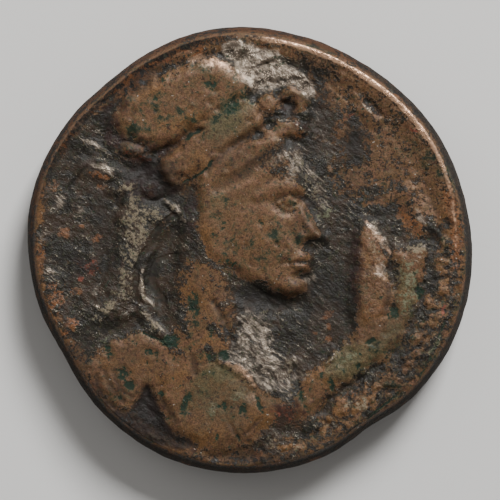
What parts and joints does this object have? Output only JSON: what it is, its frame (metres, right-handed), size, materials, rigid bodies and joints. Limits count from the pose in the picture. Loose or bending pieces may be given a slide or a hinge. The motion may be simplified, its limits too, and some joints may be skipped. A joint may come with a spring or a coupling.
{
  "type": "ancient bronze coin",
  "caption": "Thick, worn, round bronze coin of antiquity: a bust in profile with bound hair and a raised hand on the obverse, a horseman on the reverse.",
  "frame": {"origin": "on the surface the coin lies on, under the middle of its width and depth", "axes": "+Z out of the obverse, along the coin's thickness; +X to the right across the obverse, the way the bust faces; +Y towards the crown of the bust's head"},
  "size_m": [0.021, 0.0212, 0.0036],
  "materials": {
    "bronze": "worn ancient bronze with dark patina in the recesses and traces of green verdigris"
  },
  "bodies": {
    "root": {"coin": "bronze"}
  },
  "joints": []
}
